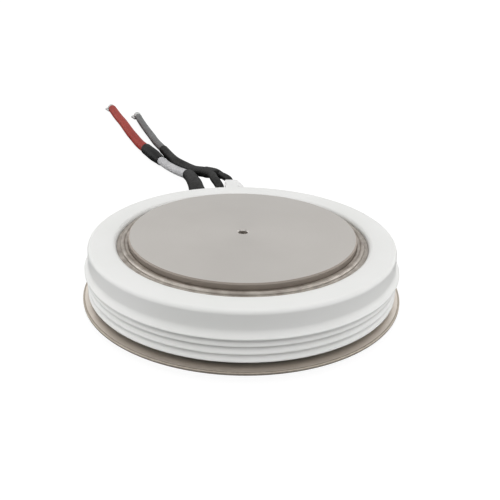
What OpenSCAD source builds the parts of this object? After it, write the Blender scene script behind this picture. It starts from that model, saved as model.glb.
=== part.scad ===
// Disc thyristor: a press-pack capsule with a ribbed ceramic ring between two nickel-plated copper poles,
// and two control leads that leave the back of the ring.
// Millimetres, +Z up. The origin is the centre of the lower pole face, and the leads leave towards +Y.

/* [Poles] */
// Diameter of both pole faces
pole_d = 85; // [78:0.5:95]
// Height of the anode pole, outer face to inner face
anode_pole_h = 9.5; // [8.5:0.1:12]
// Height of the cathode pole, inner face to outer face
cathode_pole_h = 10.7; // [10.2:0.1:13]
// Step from the anode pole face to the shoulder that carries its sheet
anode_lip = 2; // [1.8:0.05:2.2]
// Step from the cathode pole face to the shoulder that carries its sheet
cathode_lip = 2.75; // [2.4:0.05:2.9]
// Width of the shoulder around each pole face
shoulder_w = 2; // [1.6:0.1:2.6]
// Chamfer around each pole face
pole_edge = 0.5; // [0.2:0.05:0.6]
// Diameter of the centring hole in each pole face
face_hole_d = 3.6; // [3:0.1:5]
// Depth of the centring hole
face_hole_depth = 2.6; // [2:0.1:3]
// Chamfer at the mouth of the centring hole
face_hole_chamfer = 0.4; // [0.2:0.05:0.8]

/* [Wafer stack] */
// Thickness of the molybdenum disc under the wafer
anode_disc_t = 3; // [2.5:0.1:4]
// Thickness of the silicon wafer
wafer_t = 0.8; // [0.6:0.05:1.2]
// Thickness of the molybdenum disc above the wafer
cathode_disc_t = 2; // [1.6:0.1:2.6]
// Width of the silicone bead on the wafer's edge
seal_w = 1.3; // [1:0.05:1.6]
// Height of the silicone bead
seal_h = 3.8; // [3:0.1:4.6]
// Clearance between the bead and the ceramic bore
seal_gap = 0.3; // [0.2:0.05:0.5]
// Width of the wafer's free edge outside the cathode contact
wafer_margin = 4; // [3.5:0.1:5]
// Height of the contact land on the cathode pole
land_h = 1.7; // [1.4:0.1:2.2]
// Width of the centring ring on the wafer's free edge
centring_w = 3.2; // [2.6:0.1:3.3]
// Clearance of the centring ring, around the disc and under the pole
centring_gap = 0.2; // [0.1:0.05:0.4]

/* [Ceramic ring] */
// Radial clearance between the poles' shoulders and the ceramic bore
bore_gap = 1.1; // [1:0.05:1.6]
// Wall of the plain band, from the bore to the outside
wall_w = 11.5; // [10:0.1:13]
// Drop from the upper pole face to the top of the ceramic
ceramic_drop = 1.9; // [1.7:0.05:2.2]
// Radius of the rounded outer top edge
top_round = 1.5; // [1:0.1:2]
// Radius of the rounded inner top edge
lip_round = 1; // [0.6:0.05:1.2]
// Width of the ledge that carries the upper sheet
ledge_w = 1.2; // [1:0.05:2]
// Depth of the ledge below the top of the ceramic
ledge_depth = 1.8; // [1.6:0.05:2.1]
// Drop from the top of the ceramic to the crest of the skirt
skirt_drop = 9.1; // [8.8:0.05:9.6]
// How far the skirt stands out from the plain band
skirt_proud = 1.65; // [1.4:0.05:2.2]
// Radius of the cove between the plain band and the skirt
cove_r = 2.7; // [2.2:0.05:2.9]
// Number of ribs below the skirt
rib_count = 3; // [2:1:3]
// How far the ribs stand out from the plain band
rib_proud = 0.85; // [0.7:0.05:1.2]
// Depth of the grooves between the ribs
groove_depth = 0.8; // [0.6:0.05:1.1]
// Radius of the rounded crests
crest_r = 0.5; // [0.4:0.05:0.7]
// Height of the lowest crest's middle above the flat foot
foot_crest_h = 0.2; // [0.1:0.05:0.4]

/* [Sheets] */
// Thickness of the upper diaphragm
diaphragm_t = 0.4; // [0.3:0.05:0.5]
// Radius of the diaphragm's ridge, along the middle of the sheet
ridge_r = 0.6; // [0.45:0.05:0.65]
// Thickness of each of the two lower sheets
flange_t = 0.5; // [0.4:0.05:0.7]
// How far the flange stands out from the plain band
flange_proud = 2.9; // [2.5:0.1:4.5]
// Rise of the anode flange from the pole's shoulder to the rim
rim_rise = 1.4; // [1.2:0.05:1.8]
// Rise of the weld ring from the rim to the foot of the ceramic
ring_rise = 2.5; // [2:0.1:3.2]
// Distance of the weld ring's step from the outside of the band
step_inset = 5.5; // [5:0.1:6.5]
// Width of the weld ring's brazed seat under the ceramic
seat_w = 4; // [3:0.1:5]
// Width of the anode flange's seat outside the pole's shoulder
anode_step_w = 2; // [1.6:0.1:2.6]
// Clearance between a sheet's bore and the pole
sheet_gap = 0.1; // [0.05:0.05:0.2]
// Inner radius of the bends in the two lower sheets
flange_bend_r = 0.3; // [0.2:0.05:0.3]
// Inner radius of the bend at the foot of the diaphragm's leg
diaphragm_bend_r = 0.2; // [0.1:0.05:0.3]

/* [Gate contact] */
// Diameter of the pocket in the cathode pole
pocket_d = 10; // [9.2:0.1:12]
// Diameter of the gate contact's body
contact_d = 4.5; // [4:0.1:5]
// Diameter of the contact's foot on the wafer
foot_d = 3; // [2.4:0.1:3.4]
// Diameter of the hole in the cathode disc
gate_hole_d = 6; // [5:0.1:7]
// Sliding clearance in the gate assembly
gate_gap = 0.1; // [0.05:0.05:0.2]
// Height of the contact above the terminal's axis
contact_over = 0.9; // [0.8:0.05:1.1]
// Thickness of one spring disc
spring_t = 0.3; // [0.2:0.05:0.4]
// Cone height of one spring disc
spring_cone = 0.35; // [0.2:0.05:0.45]
// Outer diameter of the spring discs
spring_d = 6.8; // [6:0.1:7]
// Bore of the spring discs
spring_bore = 2.6; // [2:0.1:3.2]
// Thickness of the insulator cup's ceiling
cup_ceiling = 0.4; // [0.3:0.05:0.5]

/* [Terminals] */
// Drop from the top of the ceramic to the terminals' axes
terminal_drop = 4.5; // [4.2:0.05:4.8]
// Outer diameter of the terminal tubes
tube_d = 3.2; // [2.8:0.1:3.4]
// Diameter of the wires inside
wire_d = 1.2; // [1:0.05:1.4]
// Clearance between a wire and its hole
wire_gap = 0.1; // [0.05:0.05:0.15]
// Film of braze around a terminal
braze_gap = 0.05; // [0.03:0.01:0.08]
// Diameter of the brazed collar outside the ring
collar_d = 4.4; // [4:0.1:4.6]
// Thickness of the collar
collar_t = 0.8; // [0.6:0.05:1]
// Length of a terminal outside the ring
tube_out = 5; // [4.5:0.1:5.2]
// Length of a terminal inside the ring's bore
tube_in = 0.6; // [0.4:0.05:0.8]
// Outer diameter of the gate wire's sleeve
wire_sleeve_d = 2.4; // [2:0.1:2.6]
// Width of the gate wire's slot in the cathode pole
slot_w = 3; // [2.8:0.1:3.6]
// Depth of the wire holes in the side of the cathode pole
side_hole_depth = 1.5; // [1:0.1:3]

/* [Gate boot] */
// Length of the white boot
boot_l = 12; // [11:0.1:12]
// Width of the boot on the side of the other terminals
boot_left = 4.1; // [3.4:0.1:4.1]
// Width of the boot on its free side
boot_right = 4.9; // [4:0.1:6]
// Height of the boot above the terminal
boot_above = 3.6; // [3:0.1:4]
// Depth of the boot below the terminal
boot_below = 1.85; // [1.75:0.02:1.9]
// Size of the large chamfer on the free side
boot_chamfer = 3.4; // [2.5:0.1:3.8]
// Radius of the boot's other corners
boot_round = 0.6; // [0.3:0.05:1]

/* [Leads] */
// Diameter of the white pigtail
pigtail_d = 5; // [4.2:0.1:5.2]
// Diameter of the red lead
red_lead_d = 6; // [5:0.1:6.2]
// Diameter of the grey gate lead
gate_lead_d = 4.8; // [4:0.1:4.9]
// Diameter of the gate pigtail, boot to breakout
gate_pigtail_d = 3.4; // [2.6:0.1:3.4]
// Diameter of the return pigtail, terminal to breakout
return_pigtail_d = 4; // [3.4:0.1:4]
// Diameter of the cathode boot at the ring
cathode_boot_d = 7.2; // [6.6:0.1:7.4]
// Diameter of the cathode boot at its thin end
cathode_boot_end_d = 6.2; // [5.8:0.1:6.4]
// Outer diameter of the splice sleeve over the red lead
splice_d = 7; // [6.6:0.1:7.2]
// Width of the breakout where the two pigtails enter it
breakout_w = 7.8; // [7.4:0.1:8]
// Height of the breakout there
breakout_h = 5; // [4.4:0.1:5.4]
// Outer diameter of the gate lead's black sleeve
gate_sleeve_d = 5.5; // [5.2:0.1:5.6]
// Clearance between a lead and its sleeve
sleeve_gap = 0.1; // [0.05:0.05:0.15]
// Diameter of the crimped barrel of a lug
lug_barrel_d = 5; // [4.4:0.1:5]
// Length of the crimped barrel
lug_barrel_l = 6; // [5:0.5:9]
// Width of the crimp across the barrel
crimp_w = 2.4; // [2:0.1:3]
// Depth of the crimp
crimp_depth = 0.8; // [0.5:0.05:1]
// Width of a lug's ring
lug_w = 8; // [7:0.1:9]
// Diameter of the hole in a lug's ring
lug_hole_d = 4.3; // [3.2:0.1:5.3]
// Thickness of a lug's ring
lug_t = 0.8; // [0.6:0.05:1]

/* [Hidden] */
$fn = 96;
eps = 0.01;
// How far a cut reaches past the face that it opens
over = 1;

// Directions of the three terminals around the ring
gate_angle = 94;
return_angle = 100.4;
cathode_angle = 109;

// Radii, from the pole outwards
pole_r = pole_d / 2;
shoulder_r = pole_r + shoulder_w;
bore_r = shoulder_r + bore_gap;
ledge_r = bore_r + ledge_w;
band_r = bore_r + wall_w;
rib_r = band_r + rib_proud;
skirt_r = band_r + skirt_proud;
flange_r = band_r + flange_proud;
step_r = band_r - step_inset;
anode_step_r = shoulder_r + anode_step_w;
wafer_r = bore_r - seal_gap - seal_w;
land_r = wafer_r - wafer_margin;

// Heights of the pressed stack, from the lower pole face upwards
wafer_z = anode_pole_h + anode_disc_t;
wafer_top = wafer_z + wafer_t;
stack_top = wafer_top + cathode_disc_t;
capsule_h = stack_top + cathode_pole_h;

// Heights of the housing
rim_z = anode_lip - flange_t + rim_rise;
base_z = rim_z + 2 * flange_t + ring_rise;
ceramic_top = capsule_h - ceramic_drop;
ledge_z = ceramic_top - ledge_depth;
shoulder_z = capsule_h - cathode_lip;
skirt_z = ceramic_top - skirt_drop;
terminal_z = ceramic_top - terminal_drop;

// Crests of the ribs from the foot to the skirt, as [radius, height] of the centres of their rounding
first_crest_z = base_z + foot_crest_h;
rib_pitch = (skirt_z - first_crest_z) / rib_count;
crests = [
    for (i = [0:rib_count]) [(i < rib_count ? rib_r : skirt_r) - crest_r, first_crest_z + i * rib_pitch]
];
// Centre of the cove, which touches both the band and the crest of the skirt
cove_centre = [
    band_r + cove_r,
    skirt_z + sqrt(pow(cove_r + crest_r, 2) - pow(skirt_r - crest_r - band_r - cove_r, 2))
];

// Gate assembly, above the wafer
contact_top = terminal_z + contact_over;
spring_gap = 0.05;
spring_h = 2 * (spring_t + spring_cone) + spring_gap;
cup_top = contact_top + spring_h + cup_ceiling;
spring_clear = 0.4;

// Terminals, along their own axes from the capsule's centre line
tube_start = bore_r - tube_in;
tube_end = band_r + tube_out;
wire_hole_d = wire_d + 2 * wire_gap;
boot_start = band_r + 2 * wire_gap;

// Leads: points along the middle of each one, from the ring outwards
cord_sides = 8;
red_path = [
    [-19.1, 55.5, 19.6], [-20.4, 59, 19.6], [-21.8, 65, 19.5], [-23.3, 75, 18.5], [-24.8, 85, 16.4],
    [-26.2, 95, 14.2], [-27.8, 105, 12], [-29.8, 115, 9.7], [-33, 126, 6.9], [-37.2, 137, 4.5],
    [-41.2, 145.2, 3.4], [-45.4, 152.2, 3.2], [-49.4, 158.8, 3.6], [-55.4, 170.2, 3.8], [-61.5, 182.6, 3.7],
    [-67.6, 196, 3.3], [-74, 213, 3.1], [-78.5, 225, 3.1], [-83, 238, 3.1], [-87.5, 251, 3.1],
    [-92.5, 264, 3.1], [-97.5, 278, 3.1], [-102, 291, 3.1]
];
red_pigtail_start = 1;
red_boot_end = 7;
red_splice_start = 12;
red_joint = 13;
red_splice_end = 14;
red_end = len(red_path) - 1;
gate_path = [
    [-15.6, 95.2, 17.4], [-18.8, 105, 14.6], [-22.2, 113, 12.3], [-25.9, 122.5, 9.6], [-28.8, 131, 7.5],
    [-32.6, 140, 5.9], [-39.3, 151.8, 5.2], [-44.8, 168, 3.3], [-51, 185, 2.9], [-57.8, 202.5, 2.7],
    [-62.4, 216.5, 2.7], [-67.1, 230.5, 2.7], [-71.5, 244, 2.7], [-75.5, 257, 2.7], [-79, 269, 2.7]
];
gate_sleeve_end = 8;
gate_end = len(gate_path) - 1;
gate_pigtail_path = [
    [-6.1, 69.5, 20.3], [-7.1, 74, 21.2], [-9.2, 79.5, 20.8], [-11.5, 86, 19.6], [-13.6, 95.6, 17.5]
];
return_path = [
    [-11.3, 61.8, 19.7], [-11.1, 65.5, 20.3], [-12.4, 71, 20.6], [-14.2, 78, 20.3], [-15.5, 86, 19.3],
    [-17.1, 94.3, 17.5]
];

// Vector helpers for the leads
function unit(v) = v / norm(v);
function heading(path, i) = unit(path[min(i + 1, len(path) - 1)] - path[max(i - 1, 0)]);
function across(path, i) = unit(cross(heading(path, i), [0, 0, 1]));
// Oval ring of points around station i, with its own reach to the side and upwards
function ring(path, i, side, up) =
    let (s = across(path, i), u = cross(s, heading(path, i)))
    [
        for (k = [0:cord_sides - 1])
            let (turn = 360 * k / cord_sides)
            path[i] + side * cos(turn) * s + up * sin(turn) * u
    ];
// The same value at each station from first to last
function even(first, last, value) = [for (i = [first:last]) value];
// Values that run evenly from one to another, station by station
function taper(first, last, from, to) = [
    for (i = [first:last]) from + (to - from) * (i - first) / (last - first)
];
// Faces between neighbouring rings whose points start at index base, seen from outside
function wall_faces(base, rings) = [
    for (i = [0:rings - 2], k = [0:cord_sides - 1])
        let (a = base + i * cord_sides + k, b = base + i * cord_sides + (k + 1) % cord_sides)
        each [[a, b, b + cord_sides], [a, b + cord_sides, a + cord_sides]]
];
function turned(faces) = [for (f = faces) [f[0], f[2], f[1]]];
// Faces of a flat ring between outer and inner points, seen along the lead
function end_faces(outer, inner) = [
    for (k = [0:cord_sides - 1])
        let (n = (k + 1) % cord_sides)
        each [[outer + n, outer + k, inner + k], [outer + n, inner + k, inner + n]]
];

// A solid lead along part of a path, with the reach of each of its stations
module tube_along(path, first, side, up) {
    rings = len(side);
    points = [for (i = [0:rings - 1]) each ring(path, first + i, side[i], up[i])];
    caps = [
        [for (k = [cord_sides - 1:-1:0]) k],
        [for (k = [0:cord_sides - 1]) (rings - 1) * cord_sides + k]
    ];
    polyhedron(points = points, faces = concat(wall_faces(0, rings), caps));
}

// A plain round lead from one station of a path to another
module round_lead(path, first, last, d) {
    r = even(first, last, d / 2);
    tube_along(path, first, r, r);
}

// A hollow sleeve along part of a path, with the inner and outer radius of each of its stations
module sleeve_along(path, first, inner, outer) {
    rings = len(inner);
    outside = [for (i = [0:rings - 1]) each ring(path, first + i, outer[i], outer[i])];
    inside = [for (i = [0:rings - 1]) each ring(path, first + i, inner[i], inner[i])];
    half = rings * cord_sides;
    tip = (rings - 1) * cord_sides;
    faces = concat(
        wall_faces(0, rings),
        turned(wall_faces(half, rings)),
        end_faces(0, half),
        turned(end_faces(tip, half + tip))
    );
    polyhedron(points = concat(outside, inside), faces = faces);
}

// Puts a shape that is drawn along +Z on the axis of a terminal, its zero on the capsule's centre line
module on_terminal(angle) {
    rotate([0, 0, angle]) translate([0, 0, terminal_z]) rotate([0, 90, 0]) children();
}

module radial_rod(angle, d, from, to) {
    on_terminal(angle) translate([0, 0, from]) cylinder(d = d, h = to - from);
}

module disc(r, z, h) {
    translate([0, 0, z]) cylinder(r = r, h = h);
}

// Half section of a pole with its outer face at height 0, its shoulder at lip and its inside at body_h
module pole_section(lip, body_h, body_r) {
    hole_r = face_hole_d / 2;
    polygon([
        [0, face_hole_depth],
        [hole_r, face_hole_depth],
        [hole_r, face_hole_chamfer],
        [hole_r + face_hole_chamfer, 0],
        [pole_r - pole_edge, 0],
        [pole_r, pole_edge],
        [pole_r, lip],
        [shoulder_r, lip],
        [shoulder_r, body_h - (shoulder_r > body_r ? land_h : 0)],
        [body_r, body_h - (shoulder_r > body_r ? land_h : 0)],
        [body_r, body_h],
        [0, body_h]
    ]);
}

module anode_pole() {
    color("silver") rotate_extrude() pole_section(anode_lip, anode_pole_h, wafer_r);
}

module anode_molybdenum_disc() {
    color("dimgray") disc(wafer_r, anode_pole_h, anode_disc_t);
}

module silicon_wafer() {
    color("slategray") disc(wafer_r, wafer_z, wafer_t);
}

// Bead with a round back, moulded against the edge of the wafer and its disc
module wafer_edge_seal() {
    back_r = (seal_w * seal_w + seal_h * seal_h / 4) / (2 * seal_w);
    color("mistyrose") rotate_extrude() translate([wafer_r, wafer_z]) intersection() {
        translate([seal_w - back_r, 0]) circle(back_r);
        translate([0, -seal_h / 2]) square([seal_w, seal_h]);
    }
}

module centring_ring() {
    inner_r = land_r + centring_gap;
    ring_h = cathode_disc_t - centring_gap;
    color("ivory") rotate_extrude() translate([inner_r, wafer_top]) square([centring_w, ring_h]);
}

module cathode_molybdenum_disc() {
    color("dimgray") difference() {
        disc(land_r, wafer_top, cathode_disc_t);
        disc(gate_hole_d / 2, wafer_top - over, cathode_disc_t + 2 * over);
    }
}

module cathode_pole() {
    color("silver") difference() {
        translate([0, 0, capsule_h]) mirror([0, 0, 1]) rotate_extrude()
            pole_section(cathode_lip, cathode_pole_h, land_r);
        disc(pocket_d / 2, stack_top - over, cup_top - stack_top + over);
        rotate([0, 0, gate_angle]) translate([0, -slot_w / 2, stack_top - over])
            cube([shoulder_r + over, slot_w, terminal_z + slot_w / 2 - stack_top + over]);
        for (angle = [return_angle, cathode_angle])
            radial_rod(angle, wire_hole_d, shoulder_r - side_hole_depth, shoulder_r + over);
    }
}

// Pin that the spring presses on the middle of the wafer, with a cross hole for the gate wire
module gate_contact() {
    body_z = stack_top + gate_gap;
    color("gold") difference() {
        union() {
            disc(foot_d / 2, wafer_top, body_z - wafer_top);
            disc(contact_d / 2, body_z, contact_top - body_z);
        }
        radial_rod(gate_angle, wire_hole_d, 0, contact_d);
    }
}

module spring_disc(z, inner_low) {
    inner_z = z + (inner_low ? 0 : spring_cone);
    outer_z = z + (inner_low ? spring_cone : 0);
    rotate_extrude() polygon([
        [spring_bore / 2, inner_z],
        [spring_d / 2, outer_z],
        [spring_d / 2, outer_z + spring_t],
        [spring_bore / 2, inner_z + spring_t]
    ]);
}

// Two conical spring discs, edge to edge, between the contact and the ceiling of the cup
module gate_spring_discs() {
    color("lightsteelblue") {
        spring_disc(contact_top, true);
        spring_disc(contact_top + spring_t + spring_cone + spring_gap, false);
    }
}

module gate_insulator_cup() {
    cup_z = stack_top + gate_gap;
    color("white") difference() {
        disc(pocket_d / 2 - gate_gap, cup_z, cup_top - cup_z);
        disc(contact_d / 2 + gate_gap, cup_z - over, contact_top - cup_z + over + eps);
        disc(spring_d / 2 + spring_clear, contact_top, spring_h);
        radial_rod(gate_angle, wire_hole_d, 0, pocket_d);
    }
}

module gate_wire() {
    color("peru") radial_rod(gate_angle, wire_d, wire_gap, tube_end);
}

module gate_wire_sleeve() {
    color("white") difference() {
        radial_rod(gate_angle, wire_sleeve_d, pocket_d / 2, tube_start);
        radial_rod(gate_angle, wire_hole_d, 0, bore_r);
    }
}

module return_wire() {
    color("peru") radial_rod(return_angle, wire_d, shoulder_r - side_hole_depth, tube_end);
}

module cathode_wire() {
    color("peru") radial_rod(cathode_angle, wire_d, shoulder_r - side_hole_depth, tube_end);
}

// Quarter of a bent sheet about a point: its inner radius, its thickness and the quadrant that it lies in
module bend(at, inner_r, t, quadrant) {
    translate(at) rotate(90 * quadrant) intersection() {
        difference() {
            circle(inner_r + t);
            circle(inner_r);
        }
        square(inner_r + t);
    }
}

// A flat stretch of sheet, from one corner of its section to the opposite one
module flat(low, high) {
    translate(low) square(high - low);
}

// Lower sheet: seat under the anode pole's shoulder, a bent step, and the flat rim
module anode_flange() {
    seat_z = anode_lip - flange_t;
    wall_out = anode_step_r + flange_t;
    lower = [anode_step_r - flange_bend_r, anode_lip + flange_bend_r];
    upper = [wall_out + flange_bend_r, rim_z - flange_bend_r];
    color("tan") rotate_extrude() {
        flat([pole_r + sheet_gap, seat_z], [lower[0], anode_lip]);
        bend(lower, flange_bend_r, flange_t, 3);
        flat([anode_step_r, lower[1]], [wall_out, upper[1]]);
        bend(upper, flange_bend_r, flange_t, 1);
        flat([upper[0], rim_z], [flange_r, rim_z + flange_t]);
    }
}

// Sheet between the foot of the ceramic and the rim, where it is welded to the anode flange
module ceramic_weld_ring() {
    rim_low = rim_z + flange_t;
    rim_top = rim_low + flange_t;
    wall_out = step_r + flange_t;
    upper = [step_r - flange_bend_r, base_z - flange_t - flange_bend_r];
    lower = [wall_out + flange_bend_r, rim_top + flange_bend_r];
    color("tan") rotate_extrude() {
        flat([step_r - seat_w, base_z - flange_t], [upper[0], base_z]);
        bend(upper, flange_bend_r, flange_t, 0);
        flat([step_r, lower[1]], [wall_out, upper[1]]);
        bend(lower, flange_bend_r, flange_t, 2);
        flat([lower[0], rim_low], [flange_r, rim_top]);
    }
}

// Centre of the groove circle between two crests, for the wanted groove depth
function groove_reach(a, b) =
    let (half = norm(b - a) / 2)
    (groove_depth * groove_depth + half * half) / (2 * groove_depth);
function groove_centre(a, b) =
    let (along = unit(b - a), half = norm(b - a) / 2, reach = groove_reach(a, b))
    (a + b) / 2 + sqrt(reach * reach - half * half) * [along[1], -along[0]];

// Outside of the ring: ribs and grooves that run into each other, the cove and the plain band
module ring_outside() {
    ribs = [for (i = [0:rib_count - 1]) each [crests[i], groove_centre(crests[i], crests[i + 1])]];
    difference() {
        union() {
            polygon(concat(
                [[bore_r, base_z], [crests[0][0], base_z]],
                ribs,
                [crests[rib_count], cove_centre, [band_r, cove_centre[1]]],
                [[band_r, ceramic_top - top_round], [band_r - top_round, ceramic_top], [bore_r, ceramic_top]]
            ));
            for (c = crests) translate(c) circle(crest_r);
            translate([band_r - top_round, ceramic_top - top_round]) circle(top_round);
        }
        for (i = [0:rib_count - 1]) translate(groove_centre(crests[i], crests[i + 1]))
            circle(groove_reach(crests[i], crests[i + 1]) - crest_r);
        translate(cove_centre) circle(cove_r);
        translate([bore_r, base_z - 2 * crest_r]) square([flange_r - bore_r, 2 * crest_r]);
    }
}

module ceramic_ring() {
    lip_centre = [ledge_r + lip_round, ceramic_top - lip_round];
    color("whitesmoke") difference() {
        rotate_extrude() difference() {
            ring_outside();
            flat([bore_r - over, ledge_z], [ledge_r, ceramic_top + over]);
            difference() {
                translate([ledge_r, ceramic_top - lip_round]) square([lip_round, lip_round]);
                translate(lip_centre) circle(lip_round);
            }
        }
        for (angle = [gate_angle, return_angle, cathode_angle])
            radial_rod(angle, tube_d + 2 * braze_gap, bore_r - over, skirt_r + over);
    }
}

// Upper sheet: seat on the cathode pole's shoulder, a round ridge, a leg, and the seat on the ceramic ledge
module cathode_diaphragm() {
    ridge_at = (shoulder_r + bore_r) / 2;
    outer_r = ridge_r + diaphragm_t / 2;
    inner_r = ridge_r - diaphragm_t / 2;
    ridge = [ridge_at, shoulder_z];
    leg_out = ridge_at + outer_r;
    seat_top = ledge_z + diaphragm_t;
    foot = [leg_out + diaphragm_bend_r, seat_top + diaphragm_bend_r];
    color("gainsboro") rotate_extrude() {
        flat([pole_r + sheet_gap, shoulder_z], [ridge_at - inner_r, shoulder_z + diaphragm_t]);
        bend(ridge, inner_r, diaphragm_t, 1);
        bend(ridge, inner_r, diaphragm_t, 0);
        flat([ridge_at + inner_r, foot[1]], [leg_out, shoulder_z]);
        bend(foot, diaphragm_bend_r, diaphragm_t, 2);
        flat([foot[0], ledge_z], [ledge_r - sheet_gap, seat_top]);
    }
}

// Metal tube brazed through the ring, with a collar against the outside of the band
module terminal(angle) {
    color("silver") difference() {
        union() {
            radial_rod(angle, tube_d, tube_start, tube_end);
            radial_rod(angle, collar_d, band_r + braze_gap, band_r + collar_t);
        }
        radial_rod(angle, wire_hole_d, tube_start - over, tube_end + over);
    }
}

module gate_terminal() {
    terminal(gate_angle);
}

module return_terminal() {
    terminal(return_angle);
}

module cathode_terminal() {
    terminal(cathode_angle);
}

// Section of the gate boot, seen from the back of the ring: width to the left, height up
module boot_section() {
    w = boot_left + boot_right;
    h = boot_above + boot_below;
    translate([-boot_right, -boot_below]) difference() {
        union() {
            translate([boot_round, 0]) square([w - 2 * boot_round, h]);
            translate([0, boot_round]) square([w, h - 2 * boot_round]);
            for (x = [boot_round, w - boot_round], y = [boot_round, h - boot_round])
                translate([x, y]) circle(boot_round);
        }
        polygon([
            [-over, h - boot_chamfer - over],
            [boot_chamfer + over, h + over],
            [-over, h + over]
        ]);
    }
}

// White boot over the gate terminal, with a seat for the terminal's collar
module gate_boot() {
    color("white") difference() {
        rotate([0, 0, gate_angle]) translate([boot_start, 0, terminal_z])
            rotate([90, 0, 90]) linear_extrude(boot_l) boot_section();
        radial_rod(gate_angle, tube_d + 2 * gate_gap, band_r, tube_end + gate_gap);
        radial_rod(gate_angle, collar_d + 2 * gate_gap, band_r, band_r + collar_t + gate_gap);
    }
}

module gate_pigtail() {
    color("black") round_lead(gate_pigtail_path, 0, len(gate_pigtail_path) - 1, gate_pigtail_d);
}

module return_pigtail() {
    color("black") round_lead(return_path, 0, len(return_path) - 1, return_pigtail_d);
}

// Moulded fork: wide enough for both pigtails at one end, round at the other
module gate_breakout() {
    sleeve_r = gate_sleeve_d / 2;
    color("black") tube_along(gate_path, 0, [breakout_w / 2, sleeve_r], [breakout_h / 2, sleeve_r]);
}

module gate_lead_sleeve() {
    bore = even(1, gate_sleeve_end, gate_lead_d / 2 + sleeve_gap);
    color("black") sleeve_along(gate_path, 1, bore, even(1, gate_sleeve_end, gate_sleeve_d / 2));
}

module gate_lead() {
    color("gray") round_lead(gate_path, 1, gate_end, gate_lead_d);
}

module cathode_boot() {
    bore = even(0, red_boot_end, pigtail_d / 2 + sleeve_gap);
    outside = taper(0, red_boot_end, cathode_boot_d / 2, cathode_boot_end_d / 2);
    color("black") sleeve_along(red_path, 0, bore, outside);
}

module cathode_pigtail() {
    color("white") round_lead(red_path, red_pigtail_start, red_joint, pigtail_d);
}

// Shrink sleeve over the splice: narrow on the pigtail, wide from the joint on
module splice_sleeve() {
    bore = pigtail_d / 2 + sleeve_gap;
    wide_bore = red_lead_d / 2 + sleeve_gap;
    wall = splice_d / 2 - wide_bore;
    inner = [for (i = [red_splice_start:red_splice_end]) i < red_joint ? bore : wide_bore];
    color("black") sleeve_along(red_path, red_splice_start, inner, [for (r = inner) r + wall]);
}

module red_lead() {
    color("firebrick") round_lead(red_path, red_joint, red_end, red_lead_d);
}

// Crimped lug on the end of a lead: a barrel in line with the lead, and a tongue that widens to a flat ring
module lug(path) {
    last = len(path) - 1;
    way = heading(path, last);
    ring_at = lug_barrel_l + lug_w / 2;
    tongue_z = -lug_barrel_d / 2;
    neck = lug_barrel_l / 2;
    color("silver") translate(path[last]) rotate([0, 0, atan2(way[1], way[0])]) difference() {
        union() {
            rotate([0, 90, 0]) cylinder(d = lug_barrel_d, h = lug_barrel_l);
            translate([0, 0, tongue_z]) linear_extrude(lug_t) polygon([
                [neck, -lug_barrel_d / 2],
                [ring_at, -lug_w / 2],
                [ring_at, lug_w / 2],
                [neck, lug_barrel_d / 2]
            ]);
            translate([ring_at, 0, tongue_z]) cylinder(d = lug_w, h = lug_t);
        }
        translate([ring_at, 0, tongue_z - over]) cylinder(d = lug_hole_d, h = lug_t + 2 * over);
        translate([neck, -lug_barrel_d / 2 - over, lug_barrel_d / 2 - crimp_depth + crimp_w / 2])
            rotate([-90, 0, 0]) cylinder(d = crimp_w, h = lug_barrel_d + 2 * over);
    }
}

module gate_ring_terminal() {
    lug(gate_path);
}

module red_ring_terminal() {
    lug(red_path);
}

anode_pole();
anode_molybdenum_disc();
silicon_wafer();
wafer_edge_seal();
centring_ring();
cathode_molybdenum_disc();
cathode_pole();
gate_contact();
gate_spring_discs();
gate_insulator_cup();
gate_wire();
gate_wire_sleeve();
return_wire();
cathode_wire();
anode_flange();
ceramic_weld_ring();
ceramic_ring();
cathode_diaphragm();
gate_terminal();
return_terminal();
cathode_terminal();
gate_boot();
gate_pigtail();
return_pigtail();
gate_breakout();
gate_lead_sleeve();
gate_lead();
gate_ring_terminal();
cathode_boot();
cathode_pigtail();
splice_sleeve();
red_lead();
red_ring_terminal();
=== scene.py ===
import bpy
import numpy as np
from mathutils import Matrix


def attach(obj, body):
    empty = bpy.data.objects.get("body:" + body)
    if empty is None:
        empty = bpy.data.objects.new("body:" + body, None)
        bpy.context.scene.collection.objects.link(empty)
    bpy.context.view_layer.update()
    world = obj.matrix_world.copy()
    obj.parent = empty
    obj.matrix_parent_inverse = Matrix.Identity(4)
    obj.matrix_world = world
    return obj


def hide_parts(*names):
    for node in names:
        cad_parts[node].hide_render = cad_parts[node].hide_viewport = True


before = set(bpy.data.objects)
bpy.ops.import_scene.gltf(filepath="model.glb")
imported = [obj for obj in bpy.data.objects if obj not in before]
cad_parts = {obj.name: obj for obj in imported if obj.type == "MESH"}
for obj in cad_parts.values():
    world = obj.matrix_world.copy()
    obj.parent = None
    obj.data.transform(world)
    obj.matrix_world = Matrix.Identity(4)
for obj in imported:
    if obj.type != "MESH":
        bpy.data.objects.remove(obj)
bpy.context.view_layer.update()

# Camera: a 50 mm lens in front of the capsule and above it, so that the pole face shows as a wide oval.
# It aims at the capsule's axis at the height of the flange, and is turned a little off that line.
aim_height = 0.0029
camera_distance = 0.2698
camera_rise, camera_pan, camera_tilt, camera_roll = np.radians([27.429, 0.61, -3.026, 1.095])


def turn(angle, first, second):
    """Turn of the plane of two axes, from the first towards the second, as a matrix."""
    matrix = np.eye(3)
    matrix[first, first] = matrix[second, second] = np.cos(angle)
    matrix[second, first] = np.sin(angle)
    matrix[first, second] = -np.sin(angle)
    return matrix


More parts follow.
